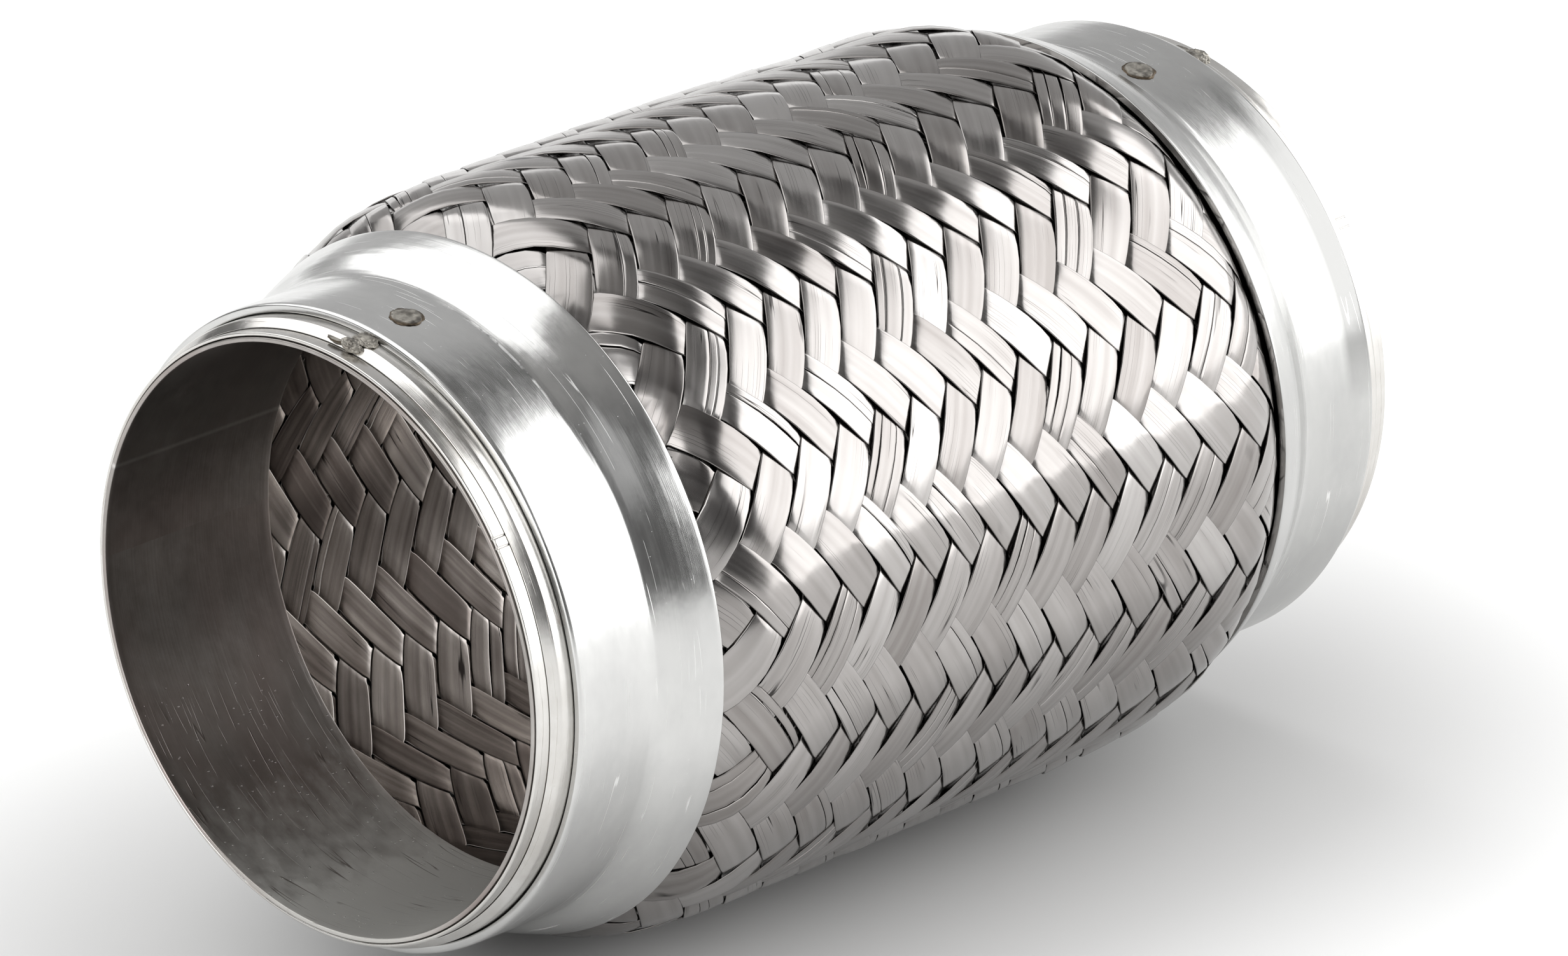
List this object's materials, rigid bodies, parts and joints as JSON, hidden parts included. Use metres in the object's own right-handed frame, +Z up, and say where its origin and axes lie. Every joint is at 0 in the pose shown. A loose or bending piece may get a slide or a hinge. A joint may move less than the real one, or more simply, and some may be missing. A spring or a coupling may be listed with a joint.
{
  "type": "braided metal bellows expansion joint",
  "caption": "Straight round expansion joint for a pipe: a metal bellows between an outer and an inner woven wire braid, with a flared cap and an inner sleeve at each end.",
  "frame": {"origin": "middle of the pipe, on its axis, halfway between the two mouths", "axes": "+X along the pipe axis from the near end to the far end, +Z up, +Y across"},
  "size_m": [0.1016, 0.0656, 0.0656],
  "materials": {
    "cap": "bright satin stainless, drawn and lightly scratched",
    "sleeve": "dull grey stainless",
    "bellows": "bright stainless sheet",
    "outer_braid": "bright drawn wire in flat bundles",
    "inner_braid": "dark drawn wire in flat bundles",
    "weld": "rough heat-tinted weld metal"
  },
  "bodies": {
    "near_end": {"near_end_cap": "cap", "near_inner_sleeve": "sleeve", "near_bellows_cuff": "bellows", "near_inner_braid_end": "inner_braid", "near_outer_braid_end": "outer_braid", "near_retaining_ring": "cap", "near_edge_weld": "weld", "near_spot_weld": "weld"},
    "length_1": {"outer_braid_1": "outer_braid", "inner_braid_1": "inner_braid", "bellows_convolution_1": "bellows"},
    "length_2": {"outer_braid_2": "outer_braid", "inner_braid_2": "inner_braid", "bellows_convolution_2": "bellows"},
    "length_3": {"outer_braid_3": "outer_braid", "inner_braid_3": "inner_braid", "bellows_convolution_3": "bellows"},
    "length_4": {"outer_braid_4": "outer_braid", "inner_braid_4": "inner_braid", "bellows_convolution_4": "bellows"},
    "length_5": {"outer_braid_5": "outer_braid", "inner_braid_5": "inner_braid", "bellows_convolution_5": "bellows"},
    "length_6": {"outer_braid_6": "outer_braid", "inner_braid_6": "inner_braid", "bellows_convolution_6": "bellows"},
    "far_end": {"far_end_cap": "cap", "far_inner_sleeve": "sleeve", "far_bellows_cuff": "bellows", "far_inner_braid_end": "inner_braid", "far_outer_braid_end": "outer_braid", "far_retaining_ring": "cap", "far_edge_weld": "weld", "far_spot_weld": "weld"}
  },
  "joints": [
    {"name": "near_bend_y", "type": "hinge", "parent": "near_end", "child": "length_1", "pos_m": [-0.0264, 0, 0], "axis": [0, 1, 0], "range_deg": [-6, 6], "stiffness_Nm_per_rad": 20},
    {"name": "axial_1", "type": "slide", "parent": "length_1", "child": "length_2", "axis": [1, 0, 0], "range_m": [-0.003, 0.001], "stiffness_N_per_m": 20000},
    {"name": "near_bend_z", "type": "hinge", "parent": "length_2", "child": "length_3", "pos_m": [-0.0088, 0, 0], "axis": [0, 0, 1], "range_deg": [-6, 6], "stiffness_Nm_per_rad": 20},
    {"name": "axial_2", "type": "slide", "parent": "length_3", "child": "length_4", "axis": [1, 0, 0], "range_m": [-0.003, 0.001], "stiffness_N_per_m": 20000},
    {"name": "far_bend_y", "type": "hinge", "parent": "length_4", "child": "length_5", "pos_m": [0.0088, 0, 0], "axis": [0, 1, 0], "range_deg": [-6, 6], "stiffness_Nm_per_rad": 20},
    {"name": "axial_3", "type": "slide", "parent": "length_5", "child": "length_6", "axis": [1, 0, 0], "range_m": [-0.003, 0.001], "stiffness_N_per_m": 20000},
    {"name": "far_bend_z", "type": "hinge", "parent": "length_6", "child": "far_end", "pos_m": [0.0264, 0, 0], "axis": [0, 0, 1], "range_deg": [-6, 6], "stiffness_Nm_per_rad": 20}
  ],
  "couplings": [
    {"joint": "axial_2", "follows": "axial_1", "ratio": 1},
    {"joint": "axial_3", "follows": "axial_1", "ratio": 1}
  ]
}
